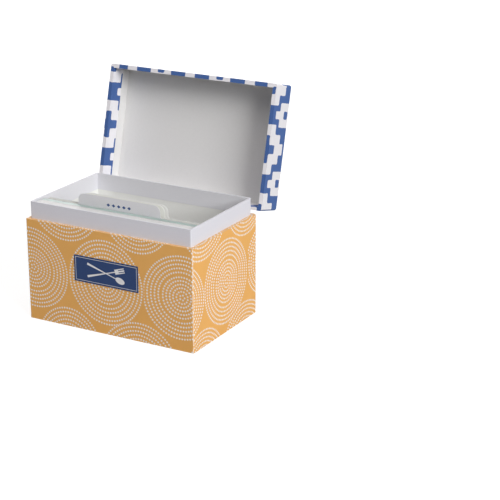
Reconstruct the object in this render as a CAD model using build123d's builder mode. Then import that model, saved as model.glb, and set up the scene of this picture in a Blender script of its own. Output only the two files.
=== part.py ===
from build123d import *
import os
from math import cos, radians, sin

# Recipe box with a raised neck and a deep hinged lid, for cards of 6 by 4 inches.
# Millimetres, +Z up, +X to the right, -Y to the front. The origin is the middle of the underside.
# The lid stands open, as the box is shown, and its own frame turns with it about the hinge line.

# Cards, and the room that they have in the bay
card_width = 152.4
card_height = 101.6
card_side_gap = 2.05
card_top_gap = 1.1
bay_depth = 96.8

# Papers
cover_paper = 0.25
neck_paper = 0.2
liner_paper = 0.2
stay_paper = 0.15
strip_paper = 0.25
label_paper = 0.3

# Greyboard
base_board = 2.6
base_corner = 1.2
neck_board = 0.9
lid_board = 3.05

# Turned-in edges, and the strips inside the corners
base_turn_in = 18.0
base_bottom_turn_in = 15.0
neck_turn_in = 15.0
neck_tuck = 20.0
lid_turn_in = 18.0
stay_leg = 12.0
sheet_margin = 4.0

# Neck, which stands above the base's rim and guides the lid
neck_rise = 15.0
neck_corner = 1.0

# Lid: how loosely it goes over the neck and over the tabs
lid_side_fit = 1.75
lid_front_fit = 1.6
tab_headroom = 1.75
lid_corner = 2.0
lid_liner_edge = 15.4
lid_rest_gap = 0.5
lid_open_angle = 104.4

# Hinge: a paper strip from inside the lid's back wall, over both rims, down behind the neck
hinge_behind_lid = 1.91
hinge_below_lid = 0.97
strip_slot = 0.3
strip_end_gap = 5.25
strip_tuck = 18.0
strip_liner_gap = 0.1

# Front label
label_width = 64.0
label_height = 23.3
label_left_shift = 1.8
label_below_rim = 35.6

# Card stock, clear sleeves and dividers
card_paper = 0.3
card_gap = 0.06
card_count = 25
card_shuffle = 0.2
sleeve_thickness = 0.34
sleeve_count = 11
divider_board = 0.5
divider_corner = 3.0
divider_spacing = 2.2
tab_width = 81.5
tab_height = 10.4
tab_corner = 6.0
tab_foot = 2.0
tab_shifts = [-0.2, 2.8, 4.6]
first_card_gap = 0.5
pack_gap = 0.35
liner_fit = 0.1

# Clearances
touch = 0.02

# Heights, from the table up: the cards stand just below the neck's top
wrap_bottom = cover_paper
boards_bottom = wrap_bottom + cover_paper
floor_top = boards_bottom + base_board
bay_floor = floor_top + liner_paper
neck_top = bay_floor + card_height + card_top_gap
rim_height = neck_top - neck_rise
base_core_top = rim_height - cover_paper

# Plan sizes of the neck, from the bay outwards
bay_width = card_width + 2 * card_side_gap
neck_lining_width = bay_width + 2 * (liner_paper + neck_paper)
neck_lining_depth = bay_depth + 2 * (liner_paper + neck_paper)
neck_core_width = neck_lining_width + 2 * neck_board
neck_core_depth = neck_lining_depth + 2 * neck_board
neck_core_corner = max(neck_corner - neck_paper, touch)
neck_core_top = neck_top - neck_paper
neck_width = neck_core_width + 2 * neck_paper
neck_depth = neck_core_depth + 2 * neck_paper
neck_y = -strip_slot / 2

# Plan sizes of the base: the boards' outer faces stand off the paper by the corner strips
base_wall = 2 * cover_paper + stay_paper + base_board
box_width = neck_width + 2 * base_wall
box_depth = neck_depth + strip_slot + 2 * base_wall
base_core_width = box_width - 2 * (cover_paper + stay_paper)
base_core_depth = box_depth - 2 * (cover_paper + stay_paper)
base_core_corner = max(base_corner - cover_paper - stay_paper, touch)

# Sizes of the lid, which clears the neck all round and the dividers' tabs above
lid_wall = 2 * cover_paper + stay_paper + lid_board
lid_mouth_width = neck_width + 2 * lid_side_fit
lid_mouth_depth = neck_depth + 2 * lid_front_fit
lid_width = lid_mouth_width + 2 * lid_wall
lid_depth = lid_mouth_depth + 2 * lid_wall
lid_core_width = lid_width - 2 * (cover_paper + stay_paper)
lid_core_depth = lid_depth - 2 * (cover_paper + stay_paper)
lid_core_corner = max(lid_corner - cover_paper - stay_paper, touch)
tab_top = bay_floor + card_height + tab_height
lid_ceiling = tab_top + tab_headroom + liner_paper - rim_height - lid_rest_gap
lid_core_top = lid_ceiling + lid_board
lid_height = lid_core_top + stay_paper + cover_paper

# Hinge line, and the lid's frame: its origin is the middle of the rim, +Z towards the lid's top
hinge_y = lid_depth / 2 + hinge_behind_lid
hinge_z = rim_height + lid_rest_gap - hinge_below_lid
lid_swing = radians(lid_open_angle)
lid_frame = Plane(
    origin=(
        0,
        hinge_y - hinge_y * cos(lid_swing) + hinge_below_lid * sin(lid_swing),
        hinge_z + hinge_y * sin(lid_swing) + hinge_below_lid * cos(lid_swing),
    ),
    x_dir=(1, 0, 0),
    z_dir=(0, sin(lid_swing), cos(lid_swing)),
)


def block(plane, width, depth, height, corner, round_far_end=False):
    """A block on a plane, with round upright corners and, if asked, round edges at its far end."""
    with BuildPart() as solid:
        with BuildSketch(plane):
            RectangleRounded(width, depth, corner)
        extrude(amount=height)
        if round_far_end:
            far_face = solid.faces().sort_by(Axis(plane.origin, plane.z_dir))[-1]
            fillet(far_face.edges(), corner)
    return solid.part


def slab(plane, width, depth, height, place=(0, 0)):
    """A plain box on a plane, with its middle at a place on the plane."""
    with BuildPart() as solid:
        with BuildSketch(plane):
            with Locations(place):
                Rectangle(width, depth)
        extrude(amount=height)
    return solid.part


def save(piece, name):
    """Labels a finished piece and writes its file."""
    piece.part.label = name
    export_step(piece.part, f"parts/{name}.step")


def corner_strips(plane, core_width, core_depth, core_corner, height):
    """Four paper strips, each bent round one upright corner of the boards."""
    outer_width = core_width + 2 * stay_paper
    outer_depth = core_depth + 2 * stay_paper
    with BuildPart() as strips:
        with BuildSketch(plane):
            RectangleRounded(outer_width, outer_depth, core_corner + stay_paper)
            RectangleRounded(core_width, core_depth, core_corner, mode=Mode.SUBTRACT)
            Rectangle(outer_width - 2 * stay_leg, outer_depth, mode=Mode.SUBTRACT)
            Rectangle(outer_width, outer_depth - 2 * stay_leg, mode=Mode.SUBTRACT)
        extrude(amount=height)
    return strips.part


def wall_board(core, slab_width, slab_depth, plane, height, place):
    """One wall board: the stretch of the rounded core that lies inside a slab."""
    with BuildPart() as board:
        add(core)
        add(slab(plane, slab_width, slab_depth, height, place), mode=Mode.INTERSECT)
    return board


def wall_boards(core, plane, core_width, core_depth, board, height):
    """Front and back boards of full width, and left and right boards between them."""
    across = (core_depth - board) / 2
    aside = (core_width - board) / 2
    between = core_depth - 2 * board
    return {
        "front": wall_board(core, core_width, board, plane, height, (0, -across)),
        "back": wall_board(core, core_width, board, plane, height, (0, across)),
        "left": wall_board(core, board, between, plane, height, (-aside, 0)),
        "right": wall_board(core, board, between, plane, height, (aside, 0)),
    }


os.makedirs("parts", exist_ok=True)

# Base boards: four greyboard walls glued round a greyboard floor
base_floor_width = base_core_width - 2 * base_board
base_floor_depth = base_core_depth - 2 * base_board
base_core_height = base_core_top - boards_bottom
base_core_plane = Plane.XY.offset(boards_bottom)
base_core = block(
    base_core_plane, base_core_width, base_core_depth, base_core_height, base_core_corner
)
base_walls = wall_boards(
    base_core, base_core_plane, base_core_width, base_core_depth, base_board, base_core_height
)
for side, piece in base_walls.items():
    save(piece, f"base_{side}_board")

with BuildPart() as base_floor_board:
    with BuildSketch(base_core_plane):
        Rectangle(base_floor_width, base_floor_depth)
    extrude(amount=base_board)
save(base_floor_board, "base_floor_board")

# Corner strips of the base: strong paper that holds each upright corner together
with BuildPart() as base_corner_stays:
    add(
        corner_strips(
            base_core_plane, base_core_width, base_core_depth, base_core_corner, base_core_height
        )
    )
save(base_corner_stays, "base_corner_stays")

# Printed paper of the base: round the walls, over the rim, and under the floor
with BuildPart() as base_wrap:
    with BuildSketch(Plane.XY.offset(wrap_bottom)):
        RectangleRounded(box_width, box_depth, base_corner)
        Rectangle(
            box_width - 2 * base_bottom_turn_in,
            box_depth - 2 * base_bottom_turn_in,
            mode=Mode.SUBTRACT,
        )
    extrude(amount=cover_paper)
    with BuildSketch(Plane.XY.offset(boards_bottom)):
        RectangleRounded(box_width, box_depth, base_corner)
        RectangleRounded(
            box_width - 2 * cover_paper,
            box_depth - 2 * cover_paper,
            base_corner - cover_paper,
            mode=Mode.SUBTRACT,
        )
    extrude(amount=base_core_height)
    with BuildSketch(Plane.XY.offset(base_core_top)):
        RectangleRounded(box_width, box_depth, base_corner)
        Rectangle(
            box_width - 2 * base_wall,
            box_depth - 2 * base_wall,
            mode=Mode.SUBTRACT,
        )
    extrude(amount=cover_paper)
    with BuildSketch(Plane.XY.offset(rim_height - base_turn_in)):
        Rectangle(
            box_width - 2 * (base_wall - cover_paper),
            box_depth - 2 * (base_wall - cover_paper),
        )
        Rectangle(
            box_width - 2 * base_wall,
            box_depth - 2 * base_wall,
            mode=Mode.SUBTRACT,
        )
    extrude(amount=base_turn_in - cover_paper)
save(base_wrap, "base_wrap")

# Underside sheet: closes the floor over the turned-in paper, and is what the box stands on
with BuildPart() as underside_sheet:
    with BuildSketch():
        Rectangle(box_width - 2 * sheet_margin, box_depth - 2 * sheet_margin)
    extrude(amount=wrap_bottom)
save(underside_sheet, "underside_sheet")

# Neck boards: a thin greyboard frame that stands on the floor and rises above the rim
neck_plane = Plane((0, neck_y, floor_top))
neck_core_height = neck_core_top - floor_top
neck_core = block(
    neck_plane, neck_core_width, neck_core_depth, neck_core_height, neck_core_corner
)
neck_walls = wall_boards(
    neck_core, neck_plane, neck_core_width, neck_core_depth, neck_board, neck_core_height
)
for side, piece in neck_walls.items():
    save(piece, f"neck_{side}_board")

# White paper of the neck: outside down past the base's rim, over the top, and turned in
neck_wrap_bottom = rim_height - neck_tuck
neck_turn_in_bottom = neck_top - neck_turn_in
with BuildPart() as neck_wrap:
    with BuildSketch(Plane((0, neck_y, neck_wrap_bottom))):
        RectangleRounded(neck_width, neck_depth, neck_corner)
        RectangleRounded(neck_core_width, neck_core_depth, neck_core_corner, mode=Mode.SUBTRACT)
    extrude(amount=neck_core_top - neck_wrap_bottom)
    with BuildSketch(Plane((0, neck_y, neck_core_top))):
        RectangleRounded(neck_width, neck_depth, neck_corner)
        Rectangle(bay_width, bay_depth, mode=Mode.SUBTRACT)
    extrude(amount=neck_paper)
    with BuildSketch(Plane((0, neck_y, neck_turn_in_bottom))):
        Rectangle(bay_width + 2 * neck_paper, bay_depth + 2 * neck_paper)
        Rectangle(bay_width, bay_depth, mode=Mode.SUBTRACT)
    extrude(amount=neck_core_top - neck_turn_in_bottom)
save(neck_wrap, "neck_wrap")

# Lining of the neck: white paper on its inner faces, under the turned-in edge
with BuildPart() as neck_liner:
    with BuildSketch(neck_plane):
        Rectangle(neck_lining_width, neck_lining_depth)
        Rectangle(
            neck_lining_width - 2 * liner_paper,
            neck_lining_depth - 2 * liner_paper,
            mode=Mode.SUBTRACT,
        )
    extrude(amount=neck_core_height)
save(neck_liner, "neck_liner")

# Floor lining: white paper on the floor board, inside the neck
with BuildPart() as floor_liner:
    with BuildSketch(neck_plane):
        Rectangle(
            neck_lining_width - 2 * (liner_paper + liner_fit),
            neck_lining_depth - 2 * (liner_paper + liner_fit),
        )
    extrude(amount=liner_paper)
save(floor_liner, "floor_liner")

# Label: a small printed sheet glued on the front
with BuildPart() as front_label:
    label_centre = (0, -box_depth / 2, rim_height - label_below_rim)
    with BuildSketch(Plane(label_centre, (1, 0, 0), (0, -1, 0))):
        with Locations((-label_left_shift, 0)):
            Rectangle(label_width, label_height)
    extrude(amount=label_paper)
save(front_label, "front_label")

# Lid boards: four greyboard walls glued round a greyboard top
lid_core_plane = lid_frame.offset(cover_paper)
lid_core_height = lid_core_top - cover_paper
lid_core = block(
    lid_core_plane,
    lid_core_width,
    lid_core_depth,
    lid_core_height,
    lid_core_corner,
    round_far_end=True,
)
lid_walls = wall_boards(
    lid_core, lid_core_plane, lid_core_width, lid_core_depth, lid_board, lid_core_height
)
for side, piece in lid_walls.items():
    save(piece, f"lid_{side}_board")

with BuildPart() as lid_top_board:
    with BuildSketch(lid_frame.offset(lid_ceiling)):
        Rectangle(lid_core_width - 2 * lid_board, lid_core_depth - 2 * lid_board)
    extrude(amount=lid_board)
save(lid_top_board, "lid_top_board")

# Corner strips of the lid, which stop below its rounded top edges
with BuildPart() as lid_corner_stays:
    add(
        corner_strips(
            lid_core_plane,
            lid_core_width,
            lid_core_depth,
            lid_core_corner,
            lid_core_height - lid_core_corner,
        )
    )
save(lid_corner_stays, "lid_corner_stays")

# Printed paper of the lid: over the top, down the walls, round the rim and up inside
with BuildPart() as lid_wrap:
    add(block(lid_frame, lid_width, lid_depth, lid_height, lid_corner, round_far_end=True))
    add(
        block(
            lid_core_plane,
            lid_width - 2 * cover_paper,
            lid_depth - 2 * cover_paper,
            lid_height - 2 * cover_paper,
            lid_corner - cover_paper,
            round_far_end=True,
        ),
        mode=Mode.SUBTRACT,
    )
    add(slab(lid_frame, lid_mouth_width, lid_mouth_depth, cover_paper), mode=Mode.SUBTRACT)
    with BuildSketch(lid_core_plane):
        Rectangle(lid_mouth_width + 2 * cover_paper, lid_mouth_depth + 2 * cover_paper)
        Rectangle(lid_mouth_width, lid_mouth_depth, mode=Mode.SUBTRACT)
    extrude(amount=lid_turn_in - cover_paper)
save(lid_wrap, "lid_wrap")

# Lining of the lid: white paper inside the top and down the walls, over the turned-in edge
with BuildPart() as lid_liner:
    with BuildSketch(lid_frame.offset(lid_liner_edge)):
        Rectangle(lid_mouth_width, lid_mouth_depth)
    extrude(amount=lid_ceiling - lid_liner_edge)
    with BuildSketch(lid_frame.offset(lid_liner_edge)):
        Rectangle(lid_mouth_width - 2 * liner_paper, lid_mouth_depth - 2 * liner_paper)
    extrude(amount=lid_ceiling - lid_liner_edge - liner_paper, mode=Mode.SUBTRACT)
save(lid_liner, "lid_liner")


def from_lid(back, up):
    """The Y and Z of a point given in the lid's own frame."""
    point = lid_frame.from_local_coords(Vector(0, back, up))
    return (point.Y, point.Z)


# Hinge strip: white paper, taut in the open lid, on the back rims of the base and of the lid
strip_width = neck_width - 2 * strip_end_gap
base_back_inner = box_depth / 2 - base_wall
lid_back_outer = lid_depth / 2
lid_back_inner = lid_mouth_depth / 2
with BuildPart() as hinge_strip:
    with BuildSketch(Plane.YZ) as strip_section:
        with BuildLine():
            run = Polyline(
                (base_back_inner, rim_height - strip_tuck),
                (base_back_inner, rim_height),
                (box_depth / 2, rim_height),
                from_lid(lid_back_outer, 0),
                from_lid(lid_back_inner, 0),
                from_lid(lid_back_inner, lid_liner_edge - strip_liner_gap),
            )
            offset(run, amount=strip_paper, side=Side.LEFT, kind=Kind.INTERSECTION)
        make_face()
    extrude(amount=strip_width / 2, both=True)
save(hinge_strip, "hinge_strip")

# Recipe cards: a pack of loose cards just behind the neck's front
card_front = neck_y - bay_depth / 2 + first_card_gap
card_pitch = card_paper + card_gap
with BuildPart() as recipe_cards:
    with BuildSketch(Plane.XY.offset(bay_floor)):
        for number in range(card_count):
            aside = card_shuffle * sin(2.4 * number)
            with Locations((aside, card_front + card_paper / 2 + number * card_pitch)):
                Rectangle(card_width, card_paper)
    extrude(amount=card_height)
save(recipe_cards, "recipe_cards")

# Clear sleeves: thin plastic pockets of the cards' size, in a pack behind the cards
sleeve_front = card_front + card_count * card_pitch - card_gap + pack_gap
sleeve_pitch = sleeve_thickness + card_gap
with BuildPart() as card_sleeves:
    with BuildSketch(Plane.XY.offset(bay_floor)):
        for number in range(sleeve_count):
            with Locations((0, sleeve_front + sleeve_thickness / 2 + number * sleeve_pitch)):
                Rectangle(card_width, sleeve_thickness)
    extrude(amount=card_height)
save(card_sleeves, "card_sleeves")

# Dividers: card sheets with a wide tab, one behind the other
first_divider = sleeve_front + sleeve_count * sleeve_pitch - card_gap + pack_gap
for number, tab_shift in enumerate(tab_shifts):
    divider_front = first_divider + number * divider_spacing
    with BuildPart() as divider:
        with BuildSketch(Plane((0, divider_front, bay_floor), (1, 0, 0), (0, 1, 0))) as outline:
            with Locations((0, -card_height / 2)):
                Rectangle(card_width, card_height)
            fillet(outline.vertices().group_by(Axis.Y)[0], divider_corner)
            with Locations((tab_shift, -card_height - tab_height / 2)):
                Rectangle(tab_width, tab_height)
            feet = outline.vertices().group_by(Axis.Y)[1].sort_by(Axis.X)[1:3]
            fillet(feet, tab_foot)
            ends = outline.vertices().group_by(Axis.Y)[0]
            fillet(ends, tab_corner)
        extrude(amount=divider_board)
    save(divider, f"divider_{number + 1}")

print(f"lid frame origin {lid_frame.origin}, hinge line y {hinge_y:.3f} z {hinge_z:.3f}")
print(f"base {box_width:.2f} by {box_depth:.2f}, rim {rim_height:.2f}, neck top {neck_top:.2f}")
print(f"lid {lid_width:.2f} by {lid_depth:.2f} by {lid_height:.2f}, ceiling {lid_ceiling:.2f}")
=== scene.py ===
from math import pi, radians

import bpy
from mathutils import Matrix, Vector


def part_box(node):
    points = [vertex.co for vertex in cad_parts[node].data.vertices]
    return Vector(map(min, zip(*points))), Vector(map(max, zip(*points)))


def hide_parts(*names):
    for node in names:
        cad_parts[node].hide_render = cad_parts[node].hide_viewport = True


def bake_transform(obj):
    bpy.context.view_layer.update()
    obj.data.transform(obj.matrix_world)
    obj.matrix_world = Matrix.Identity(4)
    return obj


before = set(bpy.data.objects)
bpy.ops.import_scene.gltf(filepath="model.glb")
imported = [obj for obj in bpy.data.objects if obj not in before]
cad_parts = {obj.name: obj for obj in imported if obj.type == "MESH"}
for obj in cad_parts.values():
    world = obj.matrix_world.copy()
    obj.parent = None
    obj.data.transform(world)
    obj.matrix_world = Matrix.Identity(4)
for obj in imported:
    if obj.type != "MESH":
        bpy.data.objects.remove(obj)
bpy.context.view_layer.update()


# Studio: a white table and a white wall without end, a soft lamp high on the right with weaker
# ones above, in front and behind, and plain light from all round. The table keeps the soft shadow.
table_size, table_drop = 8.0, 0.0001
table_lit = (0.45, 0.45, 0.45, 1)
table_seen = (0.30, 0.30, 0.30, 1)
glow_near, glow_far = 0.82, 1.0
near_box, far_off = 0.15, 0.9
full_white = (1, 1, 1, 1)
room_colour, room_strength = (1.0, 0.97, 0.96, 1), 0.03
box_middle = Vector((0, 0, 0.08))
bpy.ops.object.select_all(action="DESELECT")
bpy.ops.mesh.primitive_plane_add(size=table_size, location=(0, 0, -table_drop))
table = bpy.context.object
table.name = "table"


def feed(tree, socket, value):
    """Sets a node's input: joins it where the value comes from a node."""
    if isinstance(value, bpy.types.NodeSocket):
        tree.links.new(value, socket)
    else:
        socket.default_value = value


def reckon(tree, how, first, second=None, third=None):
    """One step of arithmetic in a material."""
    node = tree.nodes.new("ShaderNodeMath")
    node.operation = how
    for socket, value in zip(node.inputs, (first, second, third)):
        if value is not None:
            feed(tree, socket, value)
    return node.outputs[0]


def reckon_vector(tree, how, first, second=None):
    """One step of arithmetic on a place or a direction."""
    node = tree.nodes.new("ShaderNodeVectorMath")
    node.operation = how
    feed(tree, node.inputs[0], first)
    if second is not None:
        feed(tree, node.inputs[1], second)
    return node.outputs["Value" if how in ("LENGTH", "DOT_PRODUCT") else "Vector"]


def eased(tree, value, start, end, low=0.0, high=1.0):
    """A smooth rise from low to high, while a number goes from start to end."""
    node = tree.nodes.new("ShaderNodeMapRange")
    node.interpolation_type = "SMOOTHSTEP"
    tree.links.new(value, node.inputs["Value"])
    node.inputs["From Min"].default_value = start
    node.inputs["From Max"].default_value = end
    node.inputs["To Min"].default_value = low
    node.inputs["To Max"].default_value = high
    return node.outputs[0]


def light_or_show(tree, lighting, shown, surface):
    """Lights the box with one shader, and shows another to the eye, gloss and clear plastic."""
    ray = tree.nodes.new("ShaderNodeLightPath")
    seen = ray.outputs["Is Camera Ray"]
    for kind in ("Is Glossy Ray", "Is Transmission Ray"):
        seen = reckon(tree, "MAXIMUM", seen, ray.outputs[kind])
    pick = tree.nodes.new("ShaderNodeMixShader")
    tree.links.new(seen, pick.inputs["Fac"])
    tree.links.new(lighting.outputs[0], pick.inputs[1])
    tree.links.new(shown.outputs[0], pick.inputs[2])
    tree.links.new(pick.outputs[0], surface)


table_paint = bpy.data.materials.new("table_white")
table_paint.use_nodes = True
tree = table_paint.node_tree
tree.nodes.remove(tree.nodes["Principled BSDF"])
dull_white = tree.nodes.new("ShaderNodeBsdfDiffuse")
dull_white.inputs["Color"].default_value = table_lit
seen_white = tree.nodes.new("ShaderNodeBsdfDiffuse")
seen_white.inputs["Color"].default_value = table_seen
glow = tree.nodes.new("ShaderNodeEmission")
glow.inputs["Color"].default_value = full_white
where = tree.nodes.new("ShaderNodeTexCoord")
far = reckon_vector(tree, "LENGTH", where.outputs["Object"])
rise = eased(tree, far, near_box, far_off, glow_near, glow_far)
tree.links.new(rise, glow.inputs["Strength"])
seen_table = tree.nodes.new("ShaderNodeAddShader")
tree.links.new(seen_white.outputs[0], seen_table.inputs[0])
tree.links.new(glow.outputs[0], seen_table.inputs[1])
light_or_show(tree, dull_white, seen_table, tree.nodes["Material Output"].inputs["Surface"])
table.data.materials.append(table_paint)

world = bpy.data.worlds.new("studio")
bpy.context.scene.world = world
world.use_nodes = True
tree = world.node_tree
room_light = tree.nodes["Background"]
room_light.inputs["Color"].default_value = room_colour
room_light.inputs["Strength"].default_value = room_strength
white_wall = tree.nodes.new("ShaderNodeBackground")
white_wall.inputs["Color"].default_value = full_white
light_or_show(tree, room_light, white_wall, tree.nodes["World Output"].inputs["Surface"])


def hang_lamp(name, place, size, power, colour):
    """A square soft lamp that hangs at a place and faces the box."""
    data = bpy.data.lights.new(name, "AREA")
    data.shape = "SQUARE"
    data.size = size
    data.energy = power
    data.color = colour
    hung = bpy.data.objects.new(name, data)
    bpy.context.scene.collection.objects.link(hung)
    hung.location = place
    hung.rotation_euler = (Vector(place) - box_middle).to_track_quat("Z", "Y").to_euler()


hang_lamp(
    "side_lamp", (2.3903, -1.0393, 1.3513), size=1.3, power=75.5, colour=(0.98, 0.98, 0.97),
)
hang_lamp(
    "top_lamp", (0.1941, -0.3362, 1.5289), size=1.2, power=8.1, colour=(1.0, 0.965, 0.955),
)
hang_lamp(
    "front_lamp", (0.0, -0.8, 1.4656), size=1.2, power=4.6, colour=(1.0, 0.97, 0.98),
)
hang_lamp(
    "back_lamp", (-0.75, 1.15, 0.75), size=1.2, power=10.0, colour=(1.0, 0.98, 0.97),
)


# Camera: a short telephoto view from the front right, a little above the rim. The rows hold its
# right, its up and its backward direction side by side, and then its place.
film_width, lens_length, view_end = 36.0, 106.3, 20.0
camera_rows = (
    (0.87577, -0.160646, 0.455215, 0.66245),
    (0.482727, 0.288418, -0.826916, -1.01041),
    (0.001548, 0.943932, 0.330136, 0.48168),
    (0, 0, 0, 1),
)
camera_data = bpy.data.cameras.new("camera")
camera_data.sensor_width = film_width
camera_data.lens = lens_length
camera_data.clip_end = view_end
camera = bpy.data.objects.new("camera", camera_data)
bpy.context.scene.collection.objects.link(camera)
camera.matrix_world = Matrix(camera_rows)
bpy.context.scene.camera = camera
bpy.context.scene.view_settings.view_transform = "Standard"


# Boards of the base, the neck and the lid: pressed grey board with darker flecks of recycled
# fibre. Paper covers every face, so the board itself is out of sight in the finished box.
board_grey = (0.34, 0.31, 0.27)
fleck_grey = (0.18, 0.16, 0.14)
fleck_level = 0.64
to_mm = 1000.0


def start_material(name, colour, roughness, gloss):
    """A new material, with its node tree and its shader."""
    material = bpy.data.materials.new(name)
    material.use_nodes = True
    shader = material.node_tree.nodes["Principled BSDF"]
    shader.inputs["Base Color"].default_value = (*colour, 1)
    shader.inputs["Roughness"].default_value = roughness
    shader.inputs["Specular IOR Level"].default_value = gloss
    return material, material.node_tree, shader


def blend_of(tree, share, first, second, kind="RGBA", how="MIX"):
    """First where the share is 0, and second, or second times first, where it is 1."""
    node = tree.nodes.new("ShaderNodeMix")
    node.data_type = kind
    node.blend_type = how
    of_kind = {"FLOAT": "Float", "VECTOR": "Vector", "RGBA": "Color"}[kind]
    inputs = {socket.identifier: socket for socket in node.inputs}
    outputs = {socket.identifier: socket for socket in node.outputs}
    feed(tree, inputs["Factor_Float"], share)
    for letter, value in (("A", first), ("B", second)):
        if kind == "RGBA" and isinstance(value, tuple):
            value = (*value, 1)
        feed(tree, inputs[f"{letter}_{of_kind}"], value)
    return outputs[f"Result_{of_kind}"]


def speckle(tree, size, detail=3.0, rough=0.55):
    """Soft noise of a size in millimetres, from 0 to 1 about 0.5."""
    node = tree.nodes.new("ShaderNodeTexNoise")
    node.inputs["Scale"].default_value = to_mm / size
    node.inputs["Detail"].default_value = detail
    node.inputs["Roughness"].default_value = rough
    place = tree.nodes.new("ShaderNodeTexCoord").outputs["Object"]
    tree.links.new(place, node.inputs["Vector"])
    return node.outputs[0]


def tint(tree, colour, noise, amount):
    """A colour made up to some share darker or paler by a noise."""
    shade = reckon(tree, "MULTIPLY_ADD", noise, 2 * amount, 1.0 - amount)
    grey = tree.nodes.new("ShaderNodeCombineColor")
    for socket in grey.inputs[:3]:
        tree.links.new(shade, socket)
    return blend_of(tree, 1.0, colour, grey.outputs[0], how="MULTIPLY")


def tooth(tree, shader, sizes, depth):
    """Fine relief of a paper's fibres, with sizes and depth in millimetres."""
    height = speckle(tree, sizes[0], detail=4.0)
    for size in sizes[1:]:
        height = reckon(tree, "ADD", height, speckle(tree, size, detail=2.0))
    bump = tree.nodes.new("ShaderNodeBump")
    bump.inputs["Strength"].default_value = 1.0
    bump.inputs["Distance"].default_value = depth / to_mm
    tree.links.new(height, bump.inputs["Height"])
    tree.links.new(bump.outputs[0], shader.inputs["Normal"])


def dress(material, *nodes):
    """Puts a material on pieces that come from the solid model."""
    for node in nodes:
        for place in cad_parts[node].material_slots:
            place.material = material


greyboard, tree, shader = start_material("grey_board", board_grey, roughness=0.85, gloss=0.2)
flecks = speckle(tree, 0.9, detail=5.0, rough=0.75)
dark_fleck = reckon(tree, "GREATER_THAN", flecks, fleck_level)
board_colour = blend_of(tree, dark_fleck, board_grey, fleck_grey)
board_colour = tint(tree, board_colour, speckle(tree, 12.0), amount=0.08)
tree.links.new(board_colour, shader.inputs["Base Color"])
tooth(tree, shader, sizes=(0.8, 3.0), depth=0.06)
dress(
    greyboard,
    "base_floor_board", "base_front_board", "base_back_board", "base_left_board",
    "base_right_board", "neck_front_board", "neck_back_board", "neck_left_board",
    "neck_right_board", "lid_top_board", "lid_front_board", "lid_back_board",
    "lid_left_board", "lid_right_board",
)


# Corner strips: brown gummed paper, wetted and bent round the upright corners of the base and
# the lid, under the printed papers.
gummed_brown = (0.52, 0.38, 0.22)


def plain_paper(name, colour, roughness, gloss, fibre, detail, shade, sizes, depth):
    """A paper of one colour, a shade uneven where its fibres lie."""
    paper, tree, shader = start_material(name, colour, roughness, gloss)
    fibres = speckle(tree, fibre, detail=detail)
    tree.links.new(tint(tree, colour, fibres, shade), shader.inputs["Base Color"])
    tooth(tree, shader, sizes, depth)
    return paper


stay_paper = plain_paper(
    "gummed_paper", gummed_brown, roughness=0.45, gloss=0.5,
    fibre=1.6, detail=4.0, shade=0.10, sizes=(0.7, 2.5), depth=0.03,
)
dress(stay_paper, "base_corner_stays", "lid_corner_stays")


# Printed paper of the base: smooth golden orange paper with rings of pale dots, glued round the
# walls and turned in over the rim and under the floor. It meets itself on a mitre at each corner.
# Its upright edges are a little rubbed. The rim's top face is painted a shade darker and greyer,
# as painted shade.
print_orange = (0.808, 0.430, 0.127)
print_pale = (0.87, 0.825, 0.785)
rim_top_shade = (0.43, 0.38, 0.34)
half_width, half_depth, rim_height = 83.0, 53.3, 91.0
ring_far = 20.1
inner_rings = (2.2, 3.15, 5.0)
outer_rings = (22.2, 3.475, 4.0)
dot_pitch, dot_radius, dot_soft = 2.55, 0.84, 0.08
ring_stagger = 0.37
rub_size, rub_contrast, rub_start = 2.5, 2.4, -0.7
rub_fade, rub_soft, rub_strength = 0.9, 0.3, 0.6
rim_top_depth, rim_shade_strength = 0.1, 0.3
out_of_reach = 999.0
nought = (0.0, 0.0, 0.0)
# Each circle's middle, and shares by which its drawn rings lean and swell, and are oval
front_circles = (
    ((-77.0, 48.3, 0.0), (-0.032, -0.015, -0.009), (0.008, -0.033, 0.0)),
    ((-2.0, 46.8, 0.0), (-0.018, -0.005, 0.015), (-0.014, -0.01, 0.0)),
    ((72.6, 47.5, 0.0), (-0.023, -0.014, 0.01), (0.009, 0.024, 0.0)),
    ((-41.3, 114.6, 0.0), (-0.013, -0.001, 0.003), (0.001, 0.002, 0.0)),
    ((30.9, 114.6, 0.0), (-0.031, 0.009, -0.037), (-0.036, 0.001, 0.0)),
    ((106.0, 114.6, 0.0), nought, nought),
    ((-42.7, -20.4, 0.0), (0.039, -0.002, -0.03), (-0.054, -0.011, 0.0)),
    ((29.6, -20.2, 0.0), (-0.023, -0.006, 0.041), (0.022, 0.018, 0.0)),
    ((110.5, -20.4, 0.0), nought, nought),
)
side_circles = (
    ((-72.9, 46.0, 0.0), (0.004, -0.005, -0.024), (0.017, -0.028, 0.0)),
    ((1.8, 46.1, 0.0), (-0.029, 0.004, -0.001), (-0.023, 0.0, 0.0)),
    ((75.7, 46.0, 0.0), (-0.023, 0.02, 0.004), (0.057, -0.025, 0.0)),
    ((-36.6, 114.0, 0.0), (0.024, -0.035, 0.007), (0.025, 0.01, 0.0)),
    ((37.5, 114.3, 0.0), (-0.021, -0.001, -0.038), (-0.029, 0.034, 0.0)),
    ((110.0, 114.3, 0.0), nought, nought),
    ((-39.5, -20.0, 0.0), (0.012, -0.013, -0.039), (-0.018, 0.03, 0.0)),
    ((34.0, -19.8, 0.0), (-0.014, 0.004, 0.015), (0.009, -0.017, 0.0)),
    ((108.0, -20.0, 0.0), nought, nought),
)


def parts_of(tree, place):
    """A place as its X, Y and Z."""
    node = tree.nodes.new("ShaderNodeSeparateXYZ")
    tree.links.new(place, node.inputs[0])
    return tuple(node.outputs)


def joined(tree, x, y, z=0.0):
    """Three numbers as one place."""
    node = tree.nodes.new("ShaderNodeCombineXYZ")
    for socket, value in zip(node.inputs, (x, y, z)):
        feed(tree, socket, value)
    return node.outputs[0]


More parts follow.
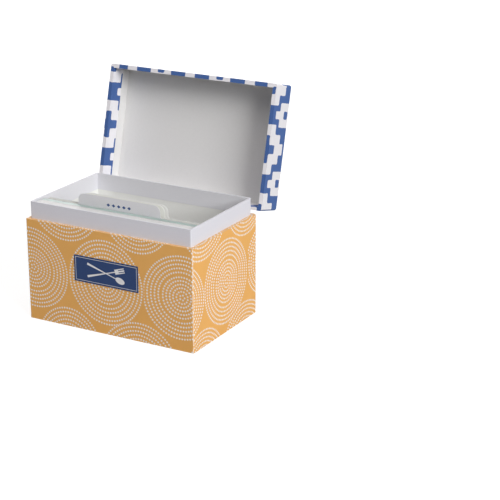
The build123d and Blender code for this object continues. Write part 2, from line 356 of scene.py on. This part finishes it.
def in_millimetres(tree, turn=0.0, shift=(0, 0, 0)):
    """The place on a piece in millimetres, turned about X and shifted, as X, Y and Z."""
    node = tree.nodes.new("ShaderNodeMapping")
    node.inputs["Scale"].default_value = (to_mm, to_mm, to_mm)
    node.inputs["Rotation"].default_value = (turn, 0, 0)
    node.inputs["Location"].default_value = shift
    place = tree.nodes.new("ShaderNodeTexCoord").outputs["Object"]
    tree.links.new(place, node.inputs["Vector"])
    return parts_of(tree, node.outputs[0])


def from_edges(tree, across, up, half_across, half_up):
    """How far in a place lies from the sides of a rectangle about the middle, and its ends."""
    return tuple(
        reckon(tree, "SUBTRACT", half, reckon(tree, "ABSOLUTE", place))
        for half, place in ((half_across, across), (half_up, up))
    )


def wall_of(tree, x, y, half_x, half_y):
    """Whether a place is on a side wall, and how far it lies in from the wall's face."""
    from_side, from_front = from_edges(tree, x, y, half_x, half_y)
    on_side = reckon(tree, "LESS_THAN", from_side, from_front)
    return on_side, reckon(tree, "MINIMUM", from_side, from_front)


def inked(tree, inside, soft):
    """A share of ink from 0 to 1 over a printed edge of some softness in millimetres."""
    return eased(tree, inside, -soft, soft)


def dotted_rings(tree, along, up, on_side):
    """1 on the pale dots and 0 between them, from the place on a wall's paper."""
    place = joined(tree, along, up)
    nearest, near, lean, oval = nought, out_of_reach, nought, nought
    for front, side in zip(front_circles, side_circles):
        middle, own_lean, own_oval = (
            blend_of(tree, on_side, on_front, beside, "VECTOR")
            for on_front, beside in zip(front, side)
        )
        offset = reckon_vector(tree, "SUBTRACT", place, middle)
        far = reckon_vector(tree, "LENGTH", offset)
        closer = reckon(tree, "LESS_THAN", far, near)
        nearest = blend_of(tree, closer, nearest, offset, "VECTOR")
        lean = blend_of(tree, closer, lean, own_lean, "VECTOR")
        oval = blend_of(tree, closer, oval, own_oval, "VECTOR")
        near = reckon(tree, "MINIMUM", far, near)
    cosine, sine, _ = parts_of(tree, reckon_vector(tree, "NORMALIZE", nearest))
    squared = reckon(tree, "MULTIPLY", cosine, cosine)
    twice_cosine = reckon(tree, "MULTIPLY_ADD", squared, 2.0, -1.0)
    twice_sine = reckon(tree, "MULTIPLY", reckon(tree, "MULTIPLY", cosine, sine), 2.0)
    drawn = reckon(
        tree, "ADD",
        reckon_vector(tree, "DOT_PRODUCT", joined(tree, cosine, sine, 1.0), lean),
        reckon_vector(tree, "DOT_PRODUCT", joined(tree, twice_cosine, twice_sine), oval),
    )
    near = reckon(tree, "DIVIDE", near, reckon(tree, "ADD", drawn, 1.0))
    outside = reckon(tree, "GREATER_THAN", near, ring_far)
    first, step, last = (
        blend_of(tree, outside, inner, outer, "FLOAT")
        for inner, outer in zip(inner_rings, outer_rings)
    )
    number = reckon(tree, "DIVIDE", reckon(tree, "SUBTRACT", near, first), step)
    number = reckon(tree, "MAXIMUM", reckon(tree, "ROUND", number), 0.0)
    number = reckon(tree, "MINIMUM", number, last)
    ring = reckon(tree, "MULTIPLY_ADD", number, step, first)
    across = reckon(tree, "SUBTRACT", near, ring)
    dots = reckon(tree, "ROUND", reckon(tree, "MULTIPLY", ring, 2 * pi / dot_pitch))
    run, height, _ = parts_of(tree, nearest)
    turn = reckon(tree, "DIVIDE", reckon(tree, "ARCTAN2", height, run), 2 * pi)
    stagger = reckon(tree, "MULTIPLY", number, ring_stagger)
    cell = reckon(tree, "MULTIPLY_ADD", turn, dots, stagger)
    share = reckon(tree, "SUBTRACT", cell, reckon(tree, "ROUND", cell))
    pitch = reckon(tree, "DIVIDE", reckon(tree, "MULTIPLY", ring, 2 * pi), dots)
    sideways = reckon(tree, "MULTIPLY", share, pitch)
    gap = reckon_vector(tree, "LENGTH", joined(tree, across, sideways))
    return inked(tree, reckon(tree, "SUBTRACT", dot_radius, gap), dot_soft)


base_print, tree, shader = start_material("ring_paper", print_orange, roughness=0.6, gloss=0.15)
x, y, z = in_millimetres(tree)
on_side, inset = wall_of(tree, x, y, half_width, half_depth)
along = blend_of(tree, on_side, x, y, "FLOAT")
upper = reckon(tree, "GREATER_THAN", z, rim_height / 2)
outward = reckon(tree, "MULTIPLY_ADD", upper, 2.0, -1.0)
up = reckon(tree, "MULTIPLY_ADD", inset, outward, z)
dots = dotted_rings(tree, along, up, on_side)
ground = tint(tree, print_orange, speckle(tree, 18.0), amount=0.05)
ground = tint(tree, ground, speckle(tree, 0.8, detail=4.0), amount=0.04)
printed = blend_of(tree, dots, ground, print_pale)
to_corner = reckon(tree, "MAXIMUM", *from_edges(tree, x, y, half_width, half_depth))
patches = speckle(tree, rub_size, detail=4.0)
patches = reckon(tree, "MULTIPLY_ADD", patches, rub_contrast, rub_start)
rubbed = reckon(tree, "SUBTRACT", patches, reckon(tree, "MULTIPLY", to_corner, rub_fade))
rubbed = reckon(tree, "MULTIPLY", inked(tree, rubbed, rub_soft), rub_strength)
printed = blend_of(tree, rubbed, printed, print_pale)
# Painted shade: the rim's top face is mixed towards a darker grey.
on_rim_top = reckon(tree, "GREATER_THAN", z, rim_height - rim_top_depth)
shaded_rim = reckon(tree, "MULTIPLY", on_rim_top, rim_shade_strength)
printed = blend_of(tree, shaded_rim, printed, rim_top_shade)
tree.links.new(printed, shader.inputs["Base Color"])
tooth(tree, shader, sizes=(0.6, 9.0), depth=0.02)
dress(base_print, "base_wrap")


# Underside sheet: plain off-white paper that covers the turned-in edges under the floor. It is
# glued on last, flat, and the box stands on it.
underside_white = (0.74, 0.72, 0.68)
underside_paper = plain_paper(
    "underside_paper", underside_white, roughness=0.75, gloss=0.2,
    fibre=2.4, detail=5.0, shade=0.05, sizes=(0.9, 6.0), depth=0.04,
)
dress(underside_paper, "underside_sheet")


# Neck: its board frame is covered in smooth white paper outside, over the top and a little way
# down inside, where the paper's cut edge shows as a faint step on the white lining below. The
# paper on the neck's inner faces is painted a little paler than outside: painted light.
white_colour = (0.70, 0.70, 0.76)
inside_white_painted_light = (0.72, 0.72, 0.76)
neck_half_inside = (79.0, 49.2)
white_paper, tree, shader = start_material("white_paper", white_colour, roughness=0.6, gloss=0.2)
x, y, _ = in_millimetres(tree)
# Painted light: inside the neck the paper takes a paler white.
inside_gap = reckon(tree, "MINIMUM", *from_edges(tree, x, y, *neck_half_inside))
turned_in = reckon(tree, "GREATER_THAN", inside_gap, 0.0)
paper = blend_of(tree, turned_in, white_colour, inside_white_painted_light)
paper = tint(tree, paper, speckle(tree, 1.4, detail=5.0), amount=0.02)
tree.links.new(paper, shader.inputs["Base Color"])
tooth(tree, shader, sizes=(0.7, 11.0), depth=0.025)
dress(white_paper, "neck_wrap")


# Lining of the neck and the floor: sheets of plain white paper, a shade warmer than the neck's
# own, glued to the neck's inner faces and over the floor.
neck_lining_colour = (0.80, 0.805, 0.785)
neck_lining = plain_paper(
    "neck_lining", neck_lining_colour, roughness=0.7, gloss=0.2,
    fibre=2.0, detail=5.0, shade=0.03, sizes=(0.8, 14.0), depth=0.035,
)
dress(neck_lining, "neck_liner", "floor_liner")


# Label: a small sheet printed navy and glued flat on the front, with a thin pale line round it
# near its edge. A spoon and a fork, crossed and printed in white, fill its middle.
label_navy = (0.030, 0.060, 0.165)
label_ink = (0.80, 0.80, 0.82)
label_low, label_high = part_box("front_label")
label_middle = (label_high + label_low) / 2 * to_mm
label_half = (label_high - label_low) / 2 * to_mm
line_inset, line_half, line_soft = 1.5, 0.17, 0.12
cross_turn = radians(17)
handle_middle, handle_half_length = -4.0, 15.5
handle_half_width, handle_flare = 0.42, 0.03
bowl_middle, bowl_half, bowl_squeeze = 14.6, 2.7, 0.58
head_middle, head_half = 14.4, (4.9, 2.2)
gap_foot, gap_middle, gap_half = 13.2, 0.98, 0.36


def away_from(tree, value, middle):
    """How far a number is from another, either way."""
    return reckon(tree, "ABSOLUTE", reckon(tree, "SUBTRACT", value, middle))


def block(tree, across, up, sizes, soft=0.0):
    """Above 0 inside any of some blocks about a middle, given by half their sizes."""
    inside = None
    for half_across, half_up in sizes:
        one = reckon(
            tree, "SMOOTH_MIN",
            reckon(tree, "SUBTRACT", half_across, across),
            reckon(tree, "SUBTRACT", half_up, up),
            soft,
        )
        inside = one if inside is None else reckon(tree, "SMOOTH_MAX", inside, one, soft)
    return inside


def cut_out(tree, shape, hole):
    """Above 0 inside a shape and outside the hole in it."""
    return reckon(tree, "MINIMUM", shape, reckon(tree, "MULTIPLY", hole, -1.0))


def spoon_bowl(tree, long, wide):
    """Above 0 in the spoon's oval bowl."""
    squeezed = reckon(tree, "SUBTRACT", long, bowl_middle)
    squeezed = reckon(tree, "MULTIPLY", squeezed, bowl_squeeze)
    from_middle = reckon_vector(tree, "LENGTH", joined(tree, squeezed, wide))
    return reckon(tree, "SUBTRACT", bowl_half, from_middle)


def fork_head(tree, long, wide):
    """Above 0 in the fork's head, outside the two gaps between its tines."""
    gaps = reckon(
        tree, "MINIMUM",
        reckon(tree, "SUBTRACT", gap_half, away_from(tree, wide, gap_middle)),
        reckon(tree, "SUBTRACT", long, gap_foot),
    )
    return cut_out(
        tree, block(tree, away_from(tree, long, head_middle), wide, (head_half,)), gaps,
    )


label_paper, tree, shader = start_material("navy_label", label_navy, roughness=0.6, gloss=0.15)
x, _, z = in_millimetres(tree, shift=(-label_middle.x, 0, -label_middle.z))
edge_gap = reckon(tree, "MINIMUM", *from_edges(tree, x, z, label_half.x, label_half.z))
ornament = reckon(tree, "SUBTRACT", line_half, away_from(tree, edge_gap, line_inset))
for turn, bowl_or_head in ((cross_turn, spoon_bowl), (-cross_turn, fork_head)):
    turned = tree.nodes.new("ShaderNodeMapping")
    turned.inputs["Rotation"].default_value = (0, 0, turn)
    tree.links.new(joined(tree, x, z), turned.inputs["Vector"])
    long, wide, _ = parts_of(tree, turned.outputs[0])
    wide = reckon(tree, "ABSOLUTE", wide)
    flared = reckon(tree, "MINIMUM", long, 0.0)
    flared = reckon(tree, "MULTIPLY_ADD", flared, -handle_flare, handle_half_width)
    handle = reckon(
        tree, "MINIMUM",
        reckon(tree, "SUBTRACT", flared, wide),
        reckon(tree, "SUBTRACT", handle_half_length, away_from(tree, long, handle_middle)),
    )
    figure = reckon(tree, "MAXIMUM", handle, bowl_or_head(tree, long, wide))
    ornament = reckon(tree, "MAXIMUM", ornament, figure)
ink = inked(tree, ornament, line_soft)
ground = tint(tree, label_navy, speckle(tree, 1.2, detail=4.0), amount=0.10)
tree.links.new(blend_of(tree, ink, ground, label_ink), shader.inputs["Base Color"])
tooth(tree, shader, sizes=(0.6, 8.0), depth=0.02)
dress(label_paper, "front_label")


# Printed paper of the lid: white stepped figures on blue, over the top and down the walls, round
# the rim and up inside, where the white lining covers its edge. At each corner the front's and
# the back's print laps a little way round on to the side.
print_blue = (0.058, 0.120, 0.320)
print_white = (0.765, 0.755, 0.79)
lid_half_width, lid_half_depth, lid_height = 85.2, 55.2, 29.2
lid_turn, lid_shift = radians(104.4), (0, 159.0, -33.77)
# How deep the print of the top, of a wall's outside and of a wall's end is taken to reach in
top_skin, outer_skin, end_skin = 0.6, 1.85, 1.0
front_lap, back_lap = 2.6, 1.3
# Half sizes of the blocks that make a large figure and the cross left open in it, and of those
# that make a small figure and its hole
lid_figures = (
    ((21.5, 12.0), (12.75, 22.0), (4.75, 28.4)),
    ((12.4, 3.6), (4.0, 13.3)),
    ((10.5, 10.5), (3.3, 18.0)),
    ((3.6, 3.6),),
)
lid_soft, lid_wobble = 2.4, 0.8
# How far apart the figures stand on the front and back, and on the sides, and where they start
front_half_span, side_half_span = 30.2, 29.9
front_half_rise, side_half_rise = 30.95, 32.0
small_rise = 27.0
front_shift, right_start, left_start = 1.6, 1.4, -0.3
front_lift, side_lift, inside_squeeze = 26.4, 4.0, 0.06
corner_start, corner_half_rise = 75.9, 8.6
lid_ink_start, lid_ink_soft = 0.25, 0.15


def all_of(tree, first, *others):
    """1 where all of some answers are 1, and 0 elsewhere."""
    for other in others:
        first = reckon(tree, "MULTIPLY", first, other)
    return first


def unless(tree, answer):
    """1 where an answer is 0, and 0 where it is 1."""
    return reckon(tree, "SUBTRACT", 1.0, answer)


def stepped_figures(tree, along, half_span, up, half_rise, rise, figures, soft, wobble):
    """Above 0 in the stepped figures, which stand in rows with small ones between them."""
    big, cross, small, hole = figures
    across = reckon(tree, "PINGPONG", along, half_span)
    height = reckon(tree, "PINGPONG", up, half_rise)
    large = cut_out(
        tree, block(tree, across, height, big, soft), block(tree, across, height, cross, soft),
    )
    across = reckon(tree, "SUBTRACT", half_span, across)
    height = reckon(tree, "PINGPONG", reckon(tree, "SUBTRACT", up, rise), half_rise)
    little = cut_out(
        tree, block(tree, across, height, small, soft), block(tree, across, height, hole, soft),
    )
    shapes = reckon(tree, "MAXIMUM", large, little)
    return reckon(tree, "MULTIPLY_ADD", speckle(tree, 3.0, detail=1.0), wobble, shapes)


lid_print, tree, shader = start_material("stepped_paper", print_blue, roughness=0.6, gloss=0.15)
x, y, z = in_millimetres(tree, lid_turn, lid_shift)
on_side, inset = wall_of(tree, x, y, lid_half_width, lid_half_depth)
on_top = reckon(tree, "GREATER_THAN", z, lid_height - top_skin)
behind = reckon(tree, "GREATER_THAN", y, 0.0)
past_corner = reckon(tree, "SUBTRACT", lid_half_depth, reckon(tree, "ABSOLUTE", y))
lap = reckon(tree, "MULTIPLY_ADD", behind, back_lap - front_lap, front_lap)
lapped = reckon(tree, "LESS_THAN", past_corner, lap)
on_side = all_of(tree, on_side, unless(tree, on_top), unless(tree, lapped))
on_back = all_of(tree, behind, unless(tree, on_side), unless(tree, on_top))
at_end = reckon(tree, "GREATER_THAN", reckon(tree, "ABSOLUTE", x), lid_half_width - end_skin)
lapped = all_of(tree, lapped, at_end)

outer = reckon(tree, "LESS_THAN", inset, outer_skin)
up_outside = reckon(tree, "SUBTRACT", z, inset)
up_inside = reckon(tree, "MULTIPLY", reckon(tree, "ADD", z, inset), -1.0)
rise = blend_of(tree, outer, up_inside, up_outside, "FLOAT")
over_top = reckon(tree, "ADD", y, lid_height + lid_half_depth)
rise = blend_of(tree, on_top, rise, over_top, "FLOAT")
down_back = reckon(tree, "SUBTRACT", 2 * lid_height + 2 * lid_half_depth, rise)
rise = blend_of(tree, on_back, rise, down_back, "FLOAT")

round_corner = reckon(tree, "MULTIPLY", past_corner, reckon(tree, "SIGN", x))
across = reckon(tree, "ADD", x, reckon(tree, "MULTIPLY", round_corner, lapped))
left = reckon(tree, "LESS_THAN", x, 0.0)
side_start = reckon(tree, "MULTIPLY_ADD", left, left_start - right_start, right_start)
along_front = reckon(tree, "ADD", across, front_shift)
along_side = reckon(tree, "SUBTRACT", y, side_start)
along = blend_of(tree, on_side, along_front, along_side, "FLOAT")
half_span = blend_of(tree, on_side, front_half_span, side_half_span, "FLOAT")
half_rise = blend_of(tree, on_side, front_half_rise, side_half_rise, "FLOAT")
from_row = reckon(tree, "ADD", rise, side_lift)
below_row = reckon(tree, "LESS_THAN", from_row, 0.0)
squeeze = reckon(tree, "MULTIPLY_ADD", below_row, -inside_squeeze, 1.0)
up_side = reckon(tree, "MULTIPLY", reckon(tree, "ABSOLUTE", from_row), squeeze)
up = blend_of(tree, on_side, reckon(tree, "ADD", rise, front_lift), up_side, "FLOAT")

figures = stepped_figures(
    tree, along, half_span, up, half_rise, small_rise, lid_figures, lid_soft, lid_wobble,
)
corner_block = reckon(
    tree, "MINIMUM",
    reckon(tree, "SUBTRACT", reckon(tree, "ABSOLUTE", across), corner_start),
    reckon(tree, "SUBTRACT", corner_half_rise, away_from(tree, up, small_rise)),
)
corner_block = blend_of(tree, on_side, corner_block, -1.0, "FLOAT")
figures = reckon(tree, "MAXIMUM", figures, corner_block)
ink = inked(tree, reckon(tree, "SUBTRACT", figures, lid_ink_start), lid_ink_soft)
blue = tint(tree, print_blue, speckle(tree, 1.0, detail=4.0), amount=0.08)
blue = tint(tree, blue, speckle(tree, 16.0), amount=0.06)
white = tint(tree, print_white, speckle(tree, 1.4, detail=4.0), amount=0.03)
tree.links.new(blend_of(tree, ink, blue, white), shader.inputs["Base Color"])
tooth(tree, shader, sizes=(0.6, 9.0), depth=0.02)
dress(lid_print, "lid_wrap")


# Lid lining: a sheet of plain white paper glued inside the lid, over its top and down its walls,
# to cover the edge of the printed paper. Its white is set darker than the neck's lining: painted
# shade over the whole inside of the lid.
lid_lining_shaded_colour = (0.69, 0.685, 0.68)
lid_lining = plain_paper(
    "lid_lining", lid_lining_shaded_colour, roughness=0.7, gloss=0.2,
    fibre=2.0, detail=5.0, shade=0.03, sizes=(0.8, 14.0), depth=0.035,
)
dress(lid_lining, "lid_liner")


# Hinge strip: white paper glued behind the neck, folded over the back rims of the base and of
# the lid, and up inside the lid. It is slack between the rims and is all that joins the two.
strip_half_width, strip_thickness = 0.0745, 0.00025
strip_foot, strip_rim = 0.0730, 0.0910
strip_wall, base_edge = 0.05005, 0.0533
lid_edge = Vector((0, 0.05852, 0.09214))
lid_across = Vector((0, 0.2487, 0.9686)) * 0.0037
lid_up = Vector((0, 0.9686, -0.2487)) * 0.0153
free_parts = 12
bpy.ops.object.select_all(action="DESELECT")
bpy.ops.mesh.primitive_plane_add(size=1, location=(0, 0, 0))
strip = bpy.context.object
strip.name = "hinge_paper"
bpy.ops.object.mode_set(mode="EDIT")
bpy.ops.mesh.select_all(action="SELECT")
bpy.ops.transform.rotate(value=pi / 2, orient_axis="X", center_override=(0, 0, 0))
bpy.ops.transform.resize(
    value=(2 * strip_half_width, 1, strip_rim - strip_foot), center_override=(0, 0, 0),
)
bpy.ops.transform.translate(value=(0, strip_wall, (strip_foot + strip_rim) / 2))


def select_edge(piece, place, reach=0.0002):
    """Selects only the edge whose ends lie near a height and depth."""
    bpy.ops.mesh.select_mode(type="EDGE")
    bpy.ops.mesh.select_all(action="DESELECT")
    bpy.ops.object.mode_set(mode="OBJECT")
    for edge in piece.data.edges:
        ends = [piece.data.vertices[i].co for i in edge.vertices]
        edge.select = all((Vector((0, e.y, e.z)) - place).length < reach for e in ends)
    bpy.ops.object.mode_set(mode="EDIT")


over_rim = Vector((0, base_edge - strip_wall, 0))
free_run = lid_edge - Vector((0, base_edge, strip_rim))
runs = [over_rim] + [free_run / free_parts] * free_parts + [lid_across, lid_up]
tip = Vector((0, strip_wall, strip_rim))
for run in runs:
    select_edge(strip, tip)
    bpy.ops.mesh.extrude_region_move(TRANSFORM_OT_translate={"value": run})
    tip = tip + run
bpy.ops.object.mode_set(mode="OBJECT")
thickness = strip.modifiers.new("paper", "SOLIDIFY")
thickness.thickness = strip_thickness
thickness.offset = -1.0
thickness.use_even_offset = True
bpy.ops.object.modifier_apply(modifier="paper")
strip.data.materials.append(white_paper)
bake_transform(strip)
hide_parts("hinge_strip")


# Recipe cards: loose cards of smooth white stock. Each has faint ruled lines and a printed band of
# stepped figures down its left side; in the box only their top edges show.
card_white = (0.70, 0.70, 0.70)
card_navy = (0.040, 0.085, 0.235)
rule_grey = (0.60, 0.61, 0.66)
card_low, card_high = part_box("recipe_cards")
card_shift = (-to_mm * card_low.x, -to_mm * card_low.y, -to_mm * card_high.z)
card_pitch = 0.36
band_start, band_width = 0.45, 31.3
first_band_top, other_band_top = -0.05, -1.25
rule_pitch, rule_start, rule_half, rule_soft = 8.0, 20.0, 0.14, 0.06
rules_left, rules_right, rules_top, rules_foot = 34.3, 148.0, -17.0, -98.0
card_figures = (
    ((9.3, 5.6), (5.6, 10.0), (1.7, 99.0)),
    ((5.6, 1.9), (1.8, 6.6)),
    ((4.3, 4.3), (1.3, 8.3)),
    ((1.5, 1.6),),
)
figure_across, figure_down, card_half_span, card_half_rise = 18.1, 23.7, 12.7, 13.8
card_soft, card_wobble = 0.5, 0.2
card_ink_start, card_ink_soft = 0.1, 0.08
card_stock, tree, shader = start_material("card_stock", card_white, roughness=0.55, gloss=0.25)
x, y, z = in_millimetres(tree, shift=card_shift)
number = reckon(tree, "FLOOR", reckon(tree, "DIVIDE", y, card_pitch))
chance = tree.nodes.new("ShaderNodeTexWhiteNoise")
chance.noise_dimensions = "1D"
tree.links.new(number, chance.inputs["W"])
card = tint(tree, card_white, chance.outputs["Value"], amount=0.06)
card = tint(tree, card, speckle(tree, 1.2, detail=4.0), amount=0.02)
from_rule = reckon(tree, "PINGPONG", reckon(tree, "ADD", z, rule_start), rule_pitch / 2)
rule = inked(tree, reckon(tree, "SUBTRACT", rule_half, from_rule), rule_soft)
ruled = all_of(
    tree,
    reckon(tree, "LESS_THAN", z, rules_top),
    reckon(tree, "GREATER_THAN", z, rules_foot),
    reckon(tree, "GREATER_THAN", x, rules_left),
    reckon(tree, "LESS_THAN", x, rules_right),
)
card = blend_of(tree, reckon(tree, "MULTIPLY", rule, ruled), card, rule_grey)
figures = stepped_figures(
    tree, reckon(tree, "SUBTRACT", x, figure_across), card_half_span,
    reckon(tree, "ADD", z, figure_down), card_half_rise, card_half_rise,
    card_figures, card_soft, card_wobble,
)
not_first = reckon(tree, "GREATER_THAN", y, card_pitch / 2)
band_top = reckon(
    tree, "MULTIPLY_ADD", not_first, other_band_top - first_band_top, first_band_top,
)
band = all_of(
    tree,
    reckon(tree, "LESS_THAN", x, band_width),
    reckon(tree, "LESS_THAN", z, band_top),
    reckon(tree, "GREATER_THAN", x, band_start),
)
ink = inked(tree, reckon(tree, "SUBTRACT", figures, card_ink_start), card_ink_soft)
ink = reckon(tree, "MULTIPLY", ink, band)
tree.links.new(blend_of(tree, ink, card, card_navy), shader.inputs["Base Color"])
tooth(tree, shader, sizes=(0.7, 7.0), depth=0.015)
dress(card_stock, "recipe_cards")


# Card sleeves: clear plastic pockets, which look pale green along their edges, where light comes
# through the width of the plastic.
sleeve_edge = (0.74, 0.89, 0.85)
sleeve_face = (0.88, 0.93, 0.92)
sleeve_clear, sleeve_ior = 0.55, 1.49
edge_depth = 0.4
sleeve_top = to_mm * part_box("card_sleeves")[1].z - edge_depth
clear_sleeve, tree, shader = start_material("clear_sleeve", sleeve_face, roughness=0.4, gloss=0.3)
shader.inputs["Transmission Weight"].default_value = sleeve_clear
shader.inputs["IOR"].default_value = sleeve_ior
_, _, z = in_millimetres(tree)
at_top = reckon(tree, "GREATER_THAN", z, sleeve_top)
plastic = blend_of(tree, at_top, sleeve_face, sleeve_edge)
plastic = tint(tree, plastic, speckle(tree, 9.0), amount=0.05)
tree.links.new(plastic, shader.inputs["Base Color"])
tooth(tree, shader, sizes=(1.6, 12.0), depth=0.01)
dress(clear_sleeve, "card_sleeves")


# Dividers: three stiff cards, each with a wide tab, in slightly different off-white stocks. Each
# tab has a small row of navy lozenges where a heading goes. The cut edges beside the tab are
# painted darker than the card: painted shade, where they lie in shade.
divider_lilac = (0.72, 0.715, 0.74)
divider_ivory = (0.84, 0.85, 0.80)
divider_white = (0.84, 0.84, 0.825)
shoulder, shoulder_half, shoulder_painted_shade = 104.9, 0.06, 0.32
tab_middles = (-0.2, 2.8, 4.6)
mark_height, mark_half_pitch, mark_half, mark_squeeze = 108.7, 2.6, 1.45, 0.8
row_half, mark_soft = 12.9, 0.1
first_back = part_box("divider_1")[1].y
second_front, second_back = (corner.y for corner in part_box("divider_2"))
third_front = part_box("divider_3")[0].y
divider_stock, tree, shader = start_material(
    "divider_stock", divider_white, roughness=0.5, gloss=0.35,
)
x, y, z = in_millimetres(tree)
past_first = reckon(tree, "GREATER_THAN", y, to_mm * (first_back + second_front) / 2)
past_second = reckon(tree, "GREATER_THAN", y, to_mm * (second_back + third_front) / 2)
stock = blend_of(tree, past_first, divider_lilac, divider_ivory)
stock = blend_of(tree, past_second, stock, divider_white)
stock = tint(tree, stock, speckle(tree, 1.2, detail=4.0), amount=0.025)
# Painted shade: the cut edges at the shoulder's height are made darker than the rest of the card.
off_shoulder = reckon(tree, "GREATER_THAN", away_from(tree, z, shoulder), shoulder_half)
off_shoulder = reckon(tree, "MULTIPLY", off_shoulder, 0.5)
stock = tint(tree, stock, off_shoulder, shoulder_painted_shade)
tab_middle = tab_middles[0]
for past, before, after in zip((past_first, past_second), tab_middles, tab_middles[1:]):
    tab_middle = reckon(tree, "MULTIPLY_ADD", past, after - before, tab_middle)
from_middle = reckon(tree, "SUBTRACT", x, tab_middle)
mark_across = reckon(tree, "PINGPONG", from_middle, mark_half_pitch)
squeezed = reckon(tree, "MULTIPLY", mark_across, mark_squeeze)
from_mark = reckon(tree, "ADD", squeezed, away_from(tree, z, mark_height))
lozenge = reckon(tree, "SUBTRACT", mark_half, from_mark)
row = reckon(tree, "LESS_THAN", reckon(tree, "ABSOLUTE", from_middle), row_half)
ink = reckon(tree, "MULTIPLY", inked(tree, lozenge, mark_soft), row)
tree.links.new(blend_of(tree, ink, stock, card_navy), shader.inputs["Base Color"])
tooth(tree, shader, sizes=(0.7, 8.0), depth=0.02)
dress(divider_stock, "divider_1", "divider_2", "divider_3")
